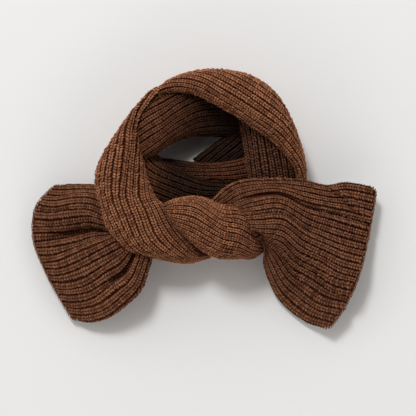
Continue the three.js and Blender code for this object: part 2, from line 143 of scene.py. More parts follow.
def end_surface(rows, folds, seed, hem):
    """A surface for an end of the scarf: points for places along its rows and rib numbers across it.
    Rib numbers below 0 and above 21 go down its turned side edges. The hem is row 0 or row -1."""
    table = [np.hstack([*row[:-2], row[-2:]]) for row in rows]
    hem_pitch = np.linalg.norm(np.diff(table[hem][:-2].reshape(-1, 3), axis=0), axis=1).sum() / BAND_RIBS

    def surface(places, ribs):
        values = along_rows(table, places)
        count = len(places)
        lines = values[:, :-2].reshape(count, -1, 3)
        across = lines.shape[1] - 1

        def top(ribs):
            shift, rise = uneven(places, ribs[None, :], seed)
            inner = smooth(np.minimum(ribs, BAND_RIBS - ribs) / STEADY_RIBS)[None, :]
            width = np.clip((ribs[None, :] + shift * inner) / BAND_RIBS, 0, 1)
            i = np.clip(np.floor(across * width).astype(int), 0, across - 1)
            t = (across * width - i)[:, :, None]
            pick = lambda k: np.take_along_axis(lines, np.clip(k, 0, across)[:, :, None], axis=1)
            b, c = pick(i), pick(i + 1)
            a = np.where((i > 0)[:, :, None], pick(i - 1), 2 * b - c)
            d = np.where((i + 2 <= across)[:, :, None], pick(i + 2), 2 * c - b)
            points = curve(a, b, c, d, t)
            length = (places / (len(rows) - 1))[:, None]
            points[:, :, 2] += fold_rise(folds, length, ribs[None, :] / BAND_RIBS)
            points[:, :, 2] += rise * smooth(points[:, :, 2] / LOOSE_HEIGHT)
            points[:, :, 2] = np.maximum(points[:, :, 2], CLOTH)
            return points

        points = top(np.clip(ribs, 0, BAND_RIBS))
        for edge, inner, drop in ((0, 1, values[:, -2]), (BAND_RIBS, BAND_RIBS - 1, values[:, -1])):
            past = (edge - ribs) if edge == 0 else (ribs - edge)
            t = np.clip(past / EDGE_RIBS, 0, 1)[None, :]
            rim = top(np.array([edge, inner], float))
            out = rim[:, 0] - rim[:, 1]
            out[:, 2] = 0
            out = out / np.linalg.norm(out, axis=1)[:, None]
            low = np.maximum(rim[:, 0, 2] - drop, EDGE_LEAST)
            swell = (EDGE_SWELL * t * (1 - t) + EDGE_SPREAD * t) * drop[:, None]
            points += out[:, None, :] * swell[:, :, None]
            points[:, :, 2] += (low - rim[:, 0, 2])[:, None] * t**EDGE_TURN
        near = HEM_CORNER - np.clip(np.minimum(ribs, BAND_RIBS - ribs) * hem_pitch, 0, HEM_CORNER)
        back = near**2 / HEM_CORNER
        from_hem = np.abs(places - (len(rows) - 1 if hem else 0))
        inward = unit(np.gradient(points, axis=0)) * (-1 if hem else 1)
        return points + inward * (back[None, :] * np.clip(1 - from_hem, 0, 1)[:, None])[:, :, None]

    return surface


def slopes(points, ribs, wrap):
    """Vectors across (millimetres for one rib) and outward from a grid of points."""
    along = np.gradient(points, axis=0)
    if wrap:
        step = ribs[1] - ribs[0]
        across = (np.roll(points, -1, axis=1) - np.roll(points, 1, axis=1)) / (2 * step)
    else:
        across = np.gradient(points, ribs, axis=1)
    return across, unit(np.cross(across, along))


# A rib stands this far above the cloth and the gap beside it lies this far below. Its crown is flat for
# about a third of its half width. Ribs narrower than six millimetres are crowded, and stand less high.
RIB_HALF = 7.0
RIB_TOP = 1.1
RIB_GAP = 1.2
RIB_FLAT = 0.35
CROWDED = 6


def rib_height(ribs, pitch):
    """How far the knitted ground stands out, for rib numbers and the width that one rib has there."""
    off = np.abs(ribs - np.floor(ribs) - 0.5)[None, :] * pitch
    reach = np.minimum(RIB_HALF, pitch / 2)
    crowd = smooth(pitch / CROWDED)
    return crowd * mix(RIB_TOP, -RIB_GAP, smooth((off / reach - RIB_FLAT) / (1 - RIB_FLAT)))


def facing_out(points, outward, centre):
    """+1 or -1: what turns these vectors outwards from a centre line, or upwards where there is none."""
    if centre is None:
        return 1 if outward[..., 2].sum() > 0 else -1
    return 1 if (outward * (points - centre)).sum() > 0 else -1


MM = 0.001


def near_solid(node, points, reach):
    """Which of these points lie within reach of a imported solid's surface."""
    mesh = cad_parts[node].data
    tree = BVHTree.FromPolygons([v.co for v in mesh.vertices], [tuple(p.vertices) for p in mesh.polygons])
    flat = points.reshape(-1, 3) * MM
    found = [tree.find_nearest(Vector(p), reach * MM)[0] is not None for p in flat]
    return np.array(found).reshape(points.shape[:-1])


def mesh_object(name, points, faces, uvs, material):
    """A mesh object at the origin, with its points in millimetres and one UV pair for each corner."""
    mesh = bpy.data.meshes.new(name)
    mesh.from_pydata((points * MM).tolist(), [], faces.tolist())
    layer = mesh.uv_layers.new(name="knit")
    layer.data.foreach_set("uv", np.asarray(uvs, np.float32).ravel())
    mesh.shade_smooth()
    mesh.materials.append(material)
    made = bpy.data.objects.new(name, mesh)
    bpy.context.scene.collection.objects.link(made)
    return made


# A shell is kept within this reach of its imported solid. Low on a bunched stretch the ribs are pressed flat,
# and its lining stays just clear of the table.
SKIN_REACH = 3.6
PRESSED_BELOW = 3
PRESSED_FADE = 5
LEAST_LINING = 0.4
STITCH = 3.4


def shell(name, node, surface, places, ribs, wrap, centre_of, material, lining):
    """A thin closed shell of ribbed cloth on a surface, lined at this depth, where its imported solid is."""
    base = surface(places, ribs)
    centre = centre_of(places)[:, None, :] if centre_of else None
    across, outward = slopes(base, ribs, wrap)
    side = facing_out(base, outward, centre)
    outward = outward * side
    pitch = np.linalg.norm(across, axis=2)
    risen = smooth((base[:, :, 2] - PRESSED_BELOW) / PRESSED_FADE)
    outer = base + outward * (rib_height(ribs, pitch) * (risen if wrap else 1))[:, :, None]
    outer[:, :, 2] = np.maximum(outer[:, :, 2], 0)
    inner = base - outward * lining
    inner[:, :, 2] = np.maximum(inner[:, :, 2], LEAST_LINING if wrap else 0)
    shown = near_solid(node, outer, SKIN_REACH)
    lines, count = base.shape[:2]
    after = np.roll(np.arange(count), -1) if wrap else np.arange(1, count)
    here = np.arange(count if wrap else count - 1)
    a = (np.arange(lines - 1)[:, None] * count + here[None, :])
    b = (np.arange(lines - 1)[:, None] * count + after[None, :])
    cells = np.stack([a, b, b + count, a + count], axis=2)
    whole = shown.ravel()[cells].any(axis=2)
    cells = cells[whole]
    rib_here = np.broadcast_to(ribs[here][None, :], whole.shape)[whole]
    step = ribs[1] - ribs[0]
    length = np.cumsum(np.linalg.norm(np.diff(base, axis=0, prepend=base[:1]), axis=2), axis=0)
    row = length.ravel() / STITCH
    corner_uv = np.stack([
        np.stack([rib_here, rib_here + step, rib_here + step, rib_here], axis=1),
        row[cells]], axis=2)
    if side < 0:
        cells, corner_uv = cells[:, ::-1], corner_uv[:, ::-1]
    size = lines * count
    edges = np.stack([cells, np.roll(cells, -1, axis=1)], axis=2).reshape(-1, 2)
    edge_uv = np.stack([corner_uv, np.roll(corner_uv, -1, axis=1)], axis=2).reshape(-1, 2, 2)
    key = edges[:, 0] * size + edges[:, 1]
    turned = edges[:, 1] * size + edges[:, 0]
    rim = ~np.isin(key, turned)
    rim_faces = np.stack([edges[rim, 1], edges[rim, 0], edges[rim, 0] + size, edges[rim, 1] + size], axis=1)
    rim_uv = np.stack([edge_uv[rim, 1], edge_uv[rim, 0], edge_uv[rim, 0], edge_uv[rim, 1]], axis=1)
    faces = np.concatenate([cells, cells[:, ::-1] + size, rim_faces])
    uvs = np.concatenate([corner_uv, corner_uv[:, ::-1], rim_uv])
    points = np.concatenate([outer.reshape(-1, 3), inner.reshape(-1, 3)])
    used, index = np.unique(faces, return_inverse=True)
    return mesh_object(name, points[used], index.reshape(faces.shape), uvs, material)


def run_length(line):
    """How far along a line each of its points lies."""
    return np.concatenate([[0], np.cumsum(np.linalg.norm(np.diff(line, axis=0), axis=1))])


def on_line(at, length, values):
    """What the values of a line's points are at these lengths along it."""
    return np.stack([np.interp(at, length, values[:, n]) for n in range(3)], axis=1)


QUARTER_RIB = 0.25


def stitch_places(node, surface, places, centres, centre_of):
    """Where each stitch sits: its point, its directions along the rib and out of the cloth, its size."""
    ribs = (centres[:, None] + np.array([-QUARTER_RIB, 0, QUARTER_RIB])).ravel()
    points = surface(places, ribs).reshape(len(places), len(centres), 3, 3)
    middle = points[:, :, 1]
    across = (points[:, :, 2] - points[:, :, 0]) / (2 * QUARTER_RIB)
    along = np.gradient(middle, axis=0)
    outward = unit(np.cross(across, along))
    centre = centre_of(places)[:, None, :] if centre_of else None
    outward = outward * facing_out(middle, outward, centre)
    found = []
    for k in range(len(centres)):
        length = run_length(middle[:, k])
        count = int(length[-1] / STITCH)
        if count < 1:
            continue
        at = (np.arange(count) + 0.5 + 0.5 * (k % 2)) * STITCH
        at = at[at < length[-1]]
        point, way, out, width = (on_line(at, length, values[:, k])
                                  for values in (middle, along, outward, across))
        found.append(np.concatenate([point, unit(way), unit(out), width], axis=1))
    return laid_on(node, np.concatenate(found))


# A stitch fills nearly half of its rib to each side, sinks a little into the cloth, and is left out where
# it would be thinner than the yarn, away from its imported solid, or pressed on the table.
YARN_REACH = 4.4
STITCH_SHARE = 0.49
STITCH_SINK = 0.35
STITCH_RISE = 1.35
COMMON_HALF = 4.3
LEAST_HALF = 1.2
UNDER_HEIGHT = 5
UNDER_FACING = -0.3


def laid_on(node, found):
    """Turns places on a cloth into stitches: those that show, each with its size."""
    point, along, outward, across = (found[:, n:n + 3] for n in (0, 3, 6, 9))
    width = np.linalg.norm(across - along * (across * along).sum(1, keepdims=True), axis=1)
    half = np.minimum(RIB_HALF, STITCH_SHARE * width)
    lift = smooth(width / CROWDED) * RIB_TOP - STITCH_SINK
    point = point + outward * lift[:, None]
    under = (point[:, 2] < UNDER_HEIGHT) & (outward[:, 2] < UNDER_FACING)
    good = (half > LEAST_HALF) & ~under & near_solid(node, point, YARN_REACH)
    size = np.stack([half, np.full(len(half), STITCH), STITCH_RISE * np.sqrt(half / COMMON_HALF)], axis=1)
    return {"point": point[good], "along": along[good], "outward": outward[good], "size": size[good] * MM}


class Term:
    """A number in a material's nodes, on which maths can be written."""

    def __init__(self, finish, socket):
        self.finish, self.socket = finish, socket

    def maths(self, kind, other, swapped=False):
        pair = (other, self) if swapped else (self, other)
        return self.finish.node("ShaderNodeMath", {"operation": kind}, {0: pair[0], 1: pair[1]})

    def __add__(self, other):
        return self.maths("ADD", other)

    __radd__ = __add__

    def __sub__(self, other):
        return self.maths("SUBTRACT", other)

    def __rsub__(self, other):
        return self.maths("SUBTRACT", other, swapped=True)

    def __mul__(self, other):
        return self.maths("MULTIPLY", other)

    __rmul__ = __mul__

    def to(self, kind):
        return self.maths(kind, 0.0)


class Finish:
    """A material, or the room's light, as it is put together from nodes."""

    def __init__(self, name, kind="materials"):
        self.made = getattr(bpy.data, kind).new(name)
        self.made.use_nodes = True
        self.tree = self.made.node_tree
        self.tree.nodes.clear()

    def node(self, kind, settings=None, inputs=None, out=0):
        """Adds a node with these settings and these values or links, and gives what it puts out."""
        made = self.tree.nodes.new(kind)
        for key, value in (settings or {}).items():
            if key == "stops":
                ramp = made.color_ramp
                while len(ramp.elements) < len(value):
                    ramp.elements.new(0.5)
                for stop, (place, colour) in zip(ramp.elements, value):
                    stop.position, stop.color = place, (*colour, 1)
            else:
                setattr(made, key, value)
        for key, value in (inputs or {}).items():
            if isinstance(value, Term):
                self.tree.links.new(value.socket, made.inputs[key])
            else:
                made.inputs[key].default_value = value
        return Term(self, made.outputs[out]) if made.outputs else made


# Painted shade: what is left of the wool's own colour at the bottom of the loop.
DARKEST_PAINTED_SHADE = 0.22


def paint_loop_shade(wool, colour, place, dark_x, light_x):
    """The colour with painted shade, darker towards the side where the loop is deepest, between two places in
    metres.
    """
    x = wool.node("ShaderNodeSeparateXYZ", inputs={0: place}, out="X")
    share = wool.node("ShaderNodeMapRange", {"interpolation_type": "SMOOTHSTEP"}, {
        "Value": x, "From Min": dark_x, "From Max": light_x, "To Min": DARKEST_PAINTED_SHADE, "To Max": 1.0})
    return wool.node("ShaderNodeMixRGB", {"blend_type": "MULTIPLY"}, {0: 1.0, 1: colour, 2: share})


# Turns for waves over a share from 0 to 1. The yarn's two plies twist along each leg of a stitch.
HALF_TURN = 3.1416
FULL_TURN = 6.2832
TWO_TURNS = 12.566
PLY_TWIST = 18.0


def yarn_material(name, shades, sheen, depth=None):
    """Brushed wool yarn: fine fibres, cloudy dye, a tone of its own for each stitch, a painted highlight on
    top of each leg and painted shade at its ends, where legs meet.
    """
    wool = Finish(name)
    place = wool.node("ShaderNodeTexCoord", out="Object")
    tone = wool.node("ShaderNodeAttribute", {"attribute_name": "tone"}, out="Fac")
    cloud = wool.node("ShaderNodeTexNoise", inputs={"Vector": place, "Scale": 60.0, "Detail": 3.0})
    fibre = wool.node("ShaderNodeTexNoise", inputs={"Vector": place, "Scale": 1400.0, "Detail": 2.0})
    turn = wool.node("ShaderNodeUVMap", {"uv_map": "knit"})
    round_it = wool.node("ShaderNodeSeparateXYZ", inputs={0: turn}, out=0)
    along_it = wool.node("ShaderNodeSeparateXYZ", inputs={0: turn}, out=1)
    # Painted light on the top of each leg's round, and painted shade at both ends of each leg.
    painted_crest_light = (round_it * FULL_TURN).to("SINE") * 0.5 + 0.5
    middle = (along_it * HALF_TURN).to("SINE")
    shade = 0.28 * tone + 0.12 * cloud + 0.20 * fibre + 0.26 * painted_crest_light + 0.20 * middle
    colour = wool.node("ShaderNodeValToRGB", {"stops": shades}, {"Fac": shade})
    # Where a span is given, painted shade darkens the colour towards the deep side of the loop.
    if depth:
        colour = paint_loop_shade(wool, colour, place, *depth)
    ply = (round_it * TWO_TURNS + along_it * PLY_TWIST).to("SINE") * 0.5 + 0.5
    height = ply * 0.6 + fibre * 0.8
    bump = wool.node("ShaderNodeBump", inputs={
        "Strength": 0.6, "Distance": 0.0004, "Height": height}, out="Normal")
    cloth = wool.node("ShaderNodeBsdfPrincipled", inputs={
        "Base Color": colour, "Roughness": 0.92, "Normal": bump, "Sheen Weight": sheen,
        "Sheen Roughness": 0.45, "Sheen Tint": (0.75, 0.55, 0.42, 1), "Specular IOR Level": 0.15}, out="BSDF")
    wool.node("ShaderNodeOutputMaterial", inputs={"Surface": cloth})
    return wool.made


def ground_material(name, dark, light, depth=None):
    """The purl ground between the ribs: small cross bars of yarn, in tones darkened as painted shade, and
    darkest at the middle of each gap, also painted shade.
    """
    wool = Finish(name)
    turn = wool.node("ShaderNodeUVMap", {"uv_map": "knit"})
    rib = wool.node("ShaderNodeSeparateXYZ", inputs={0: turn}, out=0)
    row = wool.node("ShaderNodeSeparateXYZ", inputs={0: turn}, out=1)
    place = wool.node("ShaderNodeTexCoord", out="Object")
    fibre = wool.node("ShaderNodeTexNoise", inputs={"Vector": place, "Scale": 1100.0, "Detail": 2.0})
    bars = (row * FULL_TURN).to("SINE") * 0.5 + 0.5
    # Painted shade: darkest at the middle of each gap between the ribs.
    painted_crest_light = (rib * FULL_TURN).to("COSINE") * -0.5 + 0.5
    shade = bars * 0.35 + painted_crest_light * 0.3 + fibre * 0.35
    colour = wool.node("ShaderNodeValToRGB", {"stops": [(0.1, dark), (0.9, light)]}, {"Fac": shade})
    # Where a span is given, painted shade darkens the colour towards the deep side of the loop.
    if depth:
        colour = paint_loop_shade(wool, colour, place, *depth)
    bump = wool.node("ShaderNodeBump", inputs={
        "Strength": 0.7, "Distance": 0.0006, "Height": bars + fibre * 0.6}, out="Normal")
    cloth = wool.node("ShaderNodeBsdfPrincipled", inputs={
        "Base Color": colour, "Roughness": 0.95, "Normal": bump, "Specular IOR Level": 0.1}, out="BSDF")
    wool.node("ShaderNodeOutputMaterial", inputs={"Surface": cloth})
    return wool.made


# The ends' yarn: the same wool as the rest, painted darker as shade. The ground between the ribs, on the ends
# and the outer strands, is darker still, as painted shade.
tail_yarn = yarn_material("tail_yarn", [
    (0.28, (0.024, 0.0060, 0.0023)), (0.52, (0.080, 0.0246, 0.0100)), (0.76, (0.200, 0.082, 0.039))], 0.10)
brown_ground = ground_material("brown_ground", (0.032, 0.0088, 0.0034), (0.090, 0.0290, 0.0122))


# A leg of a stitch in unit size: from its low end by the rib's middle it arches up and out to its high end.
# It is fattest half way, and its two tips go down into the cloth.
LEG_LOW = np.array([0.17, -0.52, 0.10])
LEG_HIGH = np.array([0.74, 0.35, -0.24])
LEG_ARCH = 0.40
LEG_FULLNESS = 0.7
THIN_ENDS = 0.14
LEG_TIPS = [(0.10, -0.64, 0.0), (0.82, 0.46, -0.45)]
HALF_WIDE, HALF_LONG, HALF_HIGH = 0.26, 0.22, 0.62


def knit_stitch():
    """One stitch in unit size: two fat legs of yarn that lean out from the middle like a V."""
    sides, steps = 5, 3
    points, faces, uvs = [], [], []
    for hand in (-1, 1):
        start = len(points)
        for k in range(steps + 1):
            t = k / steps
            x, y, z = mix(LEG_LOW, LEG_HIGH, t)
            z += LEG_ARCH * np.sin(np.pi * t)
            fat = np.sin(np.pi * mix(THIN_ENDS, 1 - THIN_ENDS, t)) ** LEG_FULLNESS
            for s in range(sides):
                angle = 2 * np.pi * s / sides
                sideways, up = np.cos(angle) * fat, np.sin(angle) * fat
                points.append([hand * (x + HALF_WIDE * sideways), y - HALF_LONG * sideways,
                               z + HALF_HIGH * up])
        points += [[hand * x, y, z] for x, y, z in LEG_TIPS]
        low, high = start + (steps + 1) * sides, start + (steps + 1) * sides + 1
        for k in range(steps):
            for s in range(sides):
                a = start + k * sides + s
                b = start + k * sides + (s + 1) % sides
                faces.append([a, a + sides, b + sides, b] if hand > 0 else [b, b + sides, a + sides, a])
                u0, u1, v0, v1 = s / sides, (s + 1) / sides, k / steps, (k + 1) / steps
                ring = [(u0, v0), (u0, v1), (u1, v1), (u1, v0)]
                uvs += ring if hand > 0 else ring[::-1]
        for s in range(sides):
            a, b = start + s, start + (s + 1) % sides
            c, d = a + steps * sides, b + steps * sides
            faces.append([b, low, a] if hand > 0 else [a, low, b])
            faces.append([c, high, d] if hand > 0 else [d, high, c])
            uvs += [(0, 0), (0, 0), (0, 0), (0, 1), (0, 1), (0, 1)]
    mesh = bpy.data.meshes.new("stitch")
    mesh.from_pydata(points, [], faces)
    layer = mesh.uv_layers.new(name="knit")
    layer.data.foreach_set("uv", np.array(uvs, np.float32).ravel())
    mesh.shade_smooth()
    made = bpy.data.objects.new("stitch", mesh)
    bpy.context.scene.collection.objects.link(made)
    return made


def stitch_layer():
    """The tree that lays a stitch on every point and keeps a tone for each."""
    tree = bpy.data.node_groups.new("laid_stitches", "GeometryNodeTree")
    sockets = {}
    for name, kind in (("Points", "Geometry"), ("Stitch", "Object"), ("Fullness", "Float"),
                       ("Unevenness", "Float"), ("Seed", "Int"), ("Yarn", "Material")):
        sockets[name] = tree.interface.new_socket(name, in_out="INPUT", socket_type="NodeSocket" + kind)
    tree.interface.new_socket("Stitches", in_out="OUTPUT", socket_type="NodeSocketGeometry")

    def node(kind, settings=None, inputs=None):
        made = tree.nodes.new(kind)
        for key, value in (settings or {}).items():
            setattr(made, key, value)
        for key, value in (inputs or {}).items():
            if isinstance(value, bpy.types.NodeSocket):
                tree.links.new(value, made.inputs[key])
            else:
                made.inputs[key].default_value = value
        return made

    given = node("NodeGroupInput").outputs
    kept = {name: node("GeometryNodeInputNamedAttribute", {"data_type": "FLOAT_VECTOR"}, {"Name": name})
            .outputs["Attribute"] for name in ("along", "outward", "size")}
    strayed = {}
    for name, amount in (("along", 1.0), ("outward", 1.4), ("size", 1.0)):
        sway = node("FunctionNodeRandomValue", {"data_type": "FLOAT_VECTOR"},
                    {0: (-amount, -amount, -amount), 1: (amount, amount, amount), "Seed": given["Seed"]})
        less = node("ShaderNodeVectorMath", {"operation": "SCALE"},
                    {"Vector": sway.outputs[0], "Scale": given["Unevenness"]})
        if name == "size":
            less = node("ShaderNodeVectorMath", {"operation": "MULTIPLY"},
                        {0: less.outputs[0], 1: kept[name]})
        strayed[name] = node("ShaderNodeVectorMath", {"operation": "ADD"},
                             {0: kept[name], 1: less.outputs[0]}).outputs[0]
    upright = node("FunctionNodeAlignRotationToVector", {"axis": "Z"}, {"Vector": strayed["outward"]})
    turned = node("FunctionNodeAlignRotationToVector", {"axis": "Y", "pivot_axis": "Z"},
                  {"Rotation": upright.outputs[0], "Vector": strayed["along"]})
    full = node("ShaderNodeVectorMath", {"operation": "SCALE"},
                {"Vector": strayed["size"], "Scale": given["Fullness"]})
    random = node("FunctionNodeRandomValue", {"data_type": "FLOAT"}, {"Seed": given["Seed"]})
    toned = node("GeometryNodeStoreNamedAttribute", {"data_type": "FLOAT", "domain": "POINT"},
                 {"Geometry": given["Points"], "Name": "tone", "Value": random.outputs[1]})
    shape = node("GeometryNodeObjectInfo", None, {"Object": given["Stitch"]})
    laid = node("GeometryNodeInstanceOnPoints", None, {
        "Points": toned.outputs[0], "Instance": shape.outputs["Geometry"],
        "Rotation": turned.outputs[0], "Scale": full.outputs[0]})
    real = node("GeometryNodeRealizeInstances", None, {0: laid.outputs[0]})
    dyed = node("GeometryNodeSetMaterial", None, {"Geometry": real.outputs[0], "Material": given["Yarn"]})
    node("NodeGroupOutput", None, {0: dyed.outputs[0]})
    return tree, {name: socket.identifier for name, socket in sockets.items()}


one_stitch = knit_stitch()
laying, laying_inputs = stitch_layer()
FULLNESS = 1.0
UNEVENNESS = 0.14


def lay_stitches(name, found, seed, yarn):
    """The stitches of one stretch as a plain mesh."""
    mesh = bpy.data.meshes.new(name)
    mesh.from_pydata((found["point"] * MM).tolist(), [], [])
    for key in ("along", "outward", "size"):
        kept = mesh.attributes.new(key, "FLOAT_VECTOR", "POINT")
        kept.data.foreach_set("vector", found[key].astype(np.float32).ravel())
    made = bpy.data.objects.new(name, mesh)
    bpy.context.scene.collection.objects.link(made)
    layer = made.modifiers.new("laid", "NODES")
    layer.node_group = laying
    given = {"Stitch": one_stitch, "Fullness": FULLNESS, "Unevenness": UNEVENNESS, "Seed": seed, "Yarn": yarn}
    for key, value in given.items():
        layer[laying_inputs[key]] = value
    bpy.context.view_layer.update()
    real = bpy.data.meshes.new_from_object(made.evaluated_get(bpy.context.evaluated_depsgraph_get()))
    made.modifiers.clear()
    made.data = real
    return made


def finish_piece(node, cloth, stitches):
    """Hangs a knitted stretch's cloth and stitches on the root, and hides the imported solid that they
    replace.
    """
    for piece in (cloth, stitches):
        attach(piece, "root")
    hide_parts(node)


# An end's surface is worked out at so many places for each row of its table, and finer for its stitches.
END_STEPS = 12
END_FINE = 40
SKIN_STEPS = 6
END_LINING = CLOTH - 0.6
# Half the width of a chain stitch on the hem and side edges, and how far it tilts up.
CHAIN_HALF = 2.4
CHAIN_TILT = 0.8
# How far in from the hem its direction is taken, in rows, and how finely it is followed, in ribs.
NEXT_TO_HEM = 0.3
HEM_STEP = 0.25


def edge_chain(surface, rows, hem):
    """Where the chain stitches of an end lie: along its hem and along its two side edges."""
    last = len(rows) - 1
    near_hem = np.array([last - NEXT_TO_HEM, last] if hem else [0, NEXT_TO_HEM])
    hem_lines = surface(near_hem, np.arange(0, BAND_RIBS + 0.1, HEM_STEP))
    pairs = [(hem_lines[hem], hem_lines[-1 - hem])]
    places = np.linspace(0, last, END_FINE * last + 1)
    for rim, inner in ((-EDGE_RIBS, 1 - EDGE_RIBS), (BAND_RIBS + EDGE_RIBS, BAND_RIBS + EDGE_RIBS - 1)):
        pairs.append(surface(places, np.array([rim, inner], float)).transpose(1, 0, 2))
    found = []
    for line, next_line in pairs:
        length = run_length(line)
        at = np.arange(0.5 * STITCH, length[-1], STITCH)
        along = unit(on_line(at, length, np.gradient(line, axis=0)))
        outward = unit(on_line(at, length, line - next_line)) + np.array([0, 0, CHAIN_TILT])
        across = unit(np.cross(along, outward)) * 2 * CHAIN_HALF
        found.append(np.concatenate([on_line(at, length, line), along, unit(outward), across], axis=1))
    return np.concatenate(found)


def knit_end(node, rows, folds, seed, hem):
    """An end of the scarf: its ribbed cloth, with stitches along its ribs, its hem and its side edges."""
    last = len(rows) - 1
    surface = end_surface(rows, folds, seed, hem)
    places = np.linspace(0, last, END_STEPS * last + 1)
    ribs = np.arange(-EDGE_RIBS * SKIN_STEPS, (BAND_RIBS + EDGE_RIBS) * SKIN_STEPS + 1) / SKIN_STEPS
    cloth = shell(node + "_cloth", node, surface, places, ribs, False, None, brown_ground, END_LINING)
    centres = np.arange(-EDGE_RIBS, BAND_RIBS + EDGE_RIBS) + 0.5
    fine = np.linspace(0, last, END_FINE * last + 1)
    found = stitch_places(node, surface, fine, centres, None)
    chain = laid_on(node, edge_chain(surface, rows, hem))
    found = {key: np.concatenate([found[key], chain[key]]) for key in found}
    stitches = lay_stitches(node + "_stitches", found, seed, tail_yarn)
    finish_piece(node, cloth, stitches)


knit_end("right_tail", END_ROWS, END_FOLDS, 1, -1)

# The end below: the other end of the same band, cast on with 21 ribs at its hem, so its first row is the
# hem. It comes out gathered from under the left of the loop, and is spread out to the left.
knit_end("left_tail", [
    [(-180, 19, 6), (-203, -7, 8), (-207, -44, 8),
     (-195, -79, 9), (-178, -112, 9), (-159, -144, 6), 2, 3],
    [(-165, 19, 9), (-183, -9, 15), (-185, -43, 10),
     (-176, -78, 15), (-160, -113, 16), (-136, -145, 14), 3, 11],
    [(-148, 19, 13), (-160, -5, 25), (-160, -40, 13),
     (-153, -69, 20), (-138, -108, 21), (-114, -137, 22), 5, 18],
    [(-131, 18, 18), (-138, -5, 33), (-136, -35, 17),
     (-129, -58, 25), (-116, -93, 26), (-92, -119, 31), 6, 26],
    [(-114, 16, 24), (-119, -13, 36), (-114, -37, 22),
     (-107, -48, 28), (-97, -80, 29), (-77, -101, 35), 8, 30],
    [(-98, 14, 28), (-98, -20, 38), (-94, -38, 28),
     (-90, -46, 30), (-84, -58, 30), (-66, -66, 34), 10, 28],
], [
    [0.08, 0.41, 1.00, 0.40, -8, 0.040],
    [0.00, 0.22, 0.70, 0.24, -4, 0.030],
    [0.20, 0.60, 0.90, 0.60, 3, 0.060],
    [0.50, 0.84, 1.00, 0.84, -6, 0.022],
    [0.30, 0.92, 1.00, 0.92, 4, 0.050],
], 2, 0)

# The front wrap: the same ribbed band, rolled over itself in front of the loop, where the top end comes out
# of it. Nothing is sewn: the bunched cloth lies in its own folds. A bunched stretch is a closed strand of
# ribs, at least nine of them on its underside.
brown_yarn = yarn_material("brown_yarn", [
    (0.28, (0.040, 0.0098, 0.0036)), (0.52, (0.130, 0.0405, 0.0165)), (0.76, (0.295, 0.121, 0.057))], 0.12)
LOWER_RIBS = 9
# A side turns under over the first of these shares of the girth below, and from there to the middle of the
# underside, at a half, the cloth lies flat.
SIDE_SHARE = 0.4
MIDDLE_SHARE = 0.5
SIDE_FADE = 1.5
CROWN_FULLNESS = 0.8
STRAND_STEPS = 8
STRAND_FINE = 30
STRAND_LINING = 1.6


def strand_surface(rows, creases, seed):
    """A surface all round a bunched stretch: points for places along it and rib numbers around it.
    A crease is a trough or ridge from one place and rib to another, with its rise and half width in ribs."""
    most = max(row[12] - row[11] for row in rows)
    total = int(np.ceil(most)) + LOWER_RIBS

    def surface(places, ribs):
        (outer_x, outer_y, inner_x, inner_y, crown, lean, outer_z, inner_z, outer_tuck, inner_tuck, base,
         rib_inner, rib_outer) = (column[:, None] for column in along_rows(rows, places).T)
        shift, rise = uneven(places, np.asarray(ribs, float)[None, :], seed)
        past = np.mod(np.asarray(ribs, float)[None, :] - rib_inner, total)
        shown = rib_outer - rib_inner
        rib = past + rib_inner
        for from_place, from_rib, to_place, to_rib, height, spread in creases:
            t = (places[:, None] - from_place) / (to_place - from_place)
            fade = smooth(FOLD_FADE * np.minimum(t, 1 - t))
            rise = rise + height * fade * np.exp(-(((rib - mix(from_rib, to_rib, t)) / spread) ** 2))
        inside = smooth(np.minimum(past, shown - past) / SIDE_FADE)
        past = past + shift * inside
        share = np.where(past <= shown, past / shown, 1 + (past - shown) / (total - shown))
        angle = np.pi * np.clip(share, 0, 1)
        side = mix(inner_z, outer_z, np.clip(share, 0, 1))
        top_across = -np.cos(angle) - lean * np.sin(angle) ** 2
        top_z = side + (crown - side) * np.maximum(np.sin(angle), 0) ** CROWN_FULLNESS
        outside = share < 1 + MIDDLE_SHARE
        from_side = np.where(outside, share - 1, 2 - share)
        turn = np.clip(from_side / SIDE_SHARE, 0, 1) * np.pi / 2
        flat = np.clip((from_side - SIDE_SHARE) / (MIDDLE_SHARE - SIDE_SHARE), 0, 1)
        tuck = np.where(outside, outer_tuck, inner_tuck)
        low_across = np.where(outside, 1, -1) * (1 - tuck * (1 - np.cos(turn))) * (1 - flat)
        low_z = mix(np.where(outside, outer_z, inner_z), base, np.sin(turn))
        over = share <= 1
        towards = (1 + np.where(over, top_across, low_across)) / 2
        z = np.where(over, top_z + rise * inside, low_z)
        return np.stack([mix(inner_x, outer_x, towards), mix(inner_y, outer_y, towards), z], axis=2)

    def centre_of(places):
        outer_x, outer_y, inner_x, inner_y, crown = along_rows(rows, places).T[:5]
        return np.stack([(outer_x + inner_x) / 2, (outer_y + inner_y) / 2, crown / 2], axis=1)

    return surface, centre_of, total


def knit_strand(node, rows, seed, flat, rests_on, creases=(), yarn=brown_yarn, ground=brown_ground):
    """A bunched stretch of the band: its ribbed cloth all round, with the stitches that show."""
    last = len(rows) - 1
    surface, centre_of, total = strand_surface(rows, creases, seed)
    places = np.linspace(0, last, STRAND_STEPS * last + 1)
    ribs = np.arange(total * SKIN_STEPS) / SKIN_STEPS
    cloth = shell(node + "_cloth", node, surface, places, ribs, True, centre_of, ground, STRAND_LINING)
    fine = np.linspace(0, last, STRAND_FINE * last + 1)
    found = stitch_places(node, surface, fine, np.arange(total) + 0.5, centre_of)
    stitches = lay_stitches(node + "_stitches", found, seed, yarn)
    finish_piece(node, cloth, stitches)


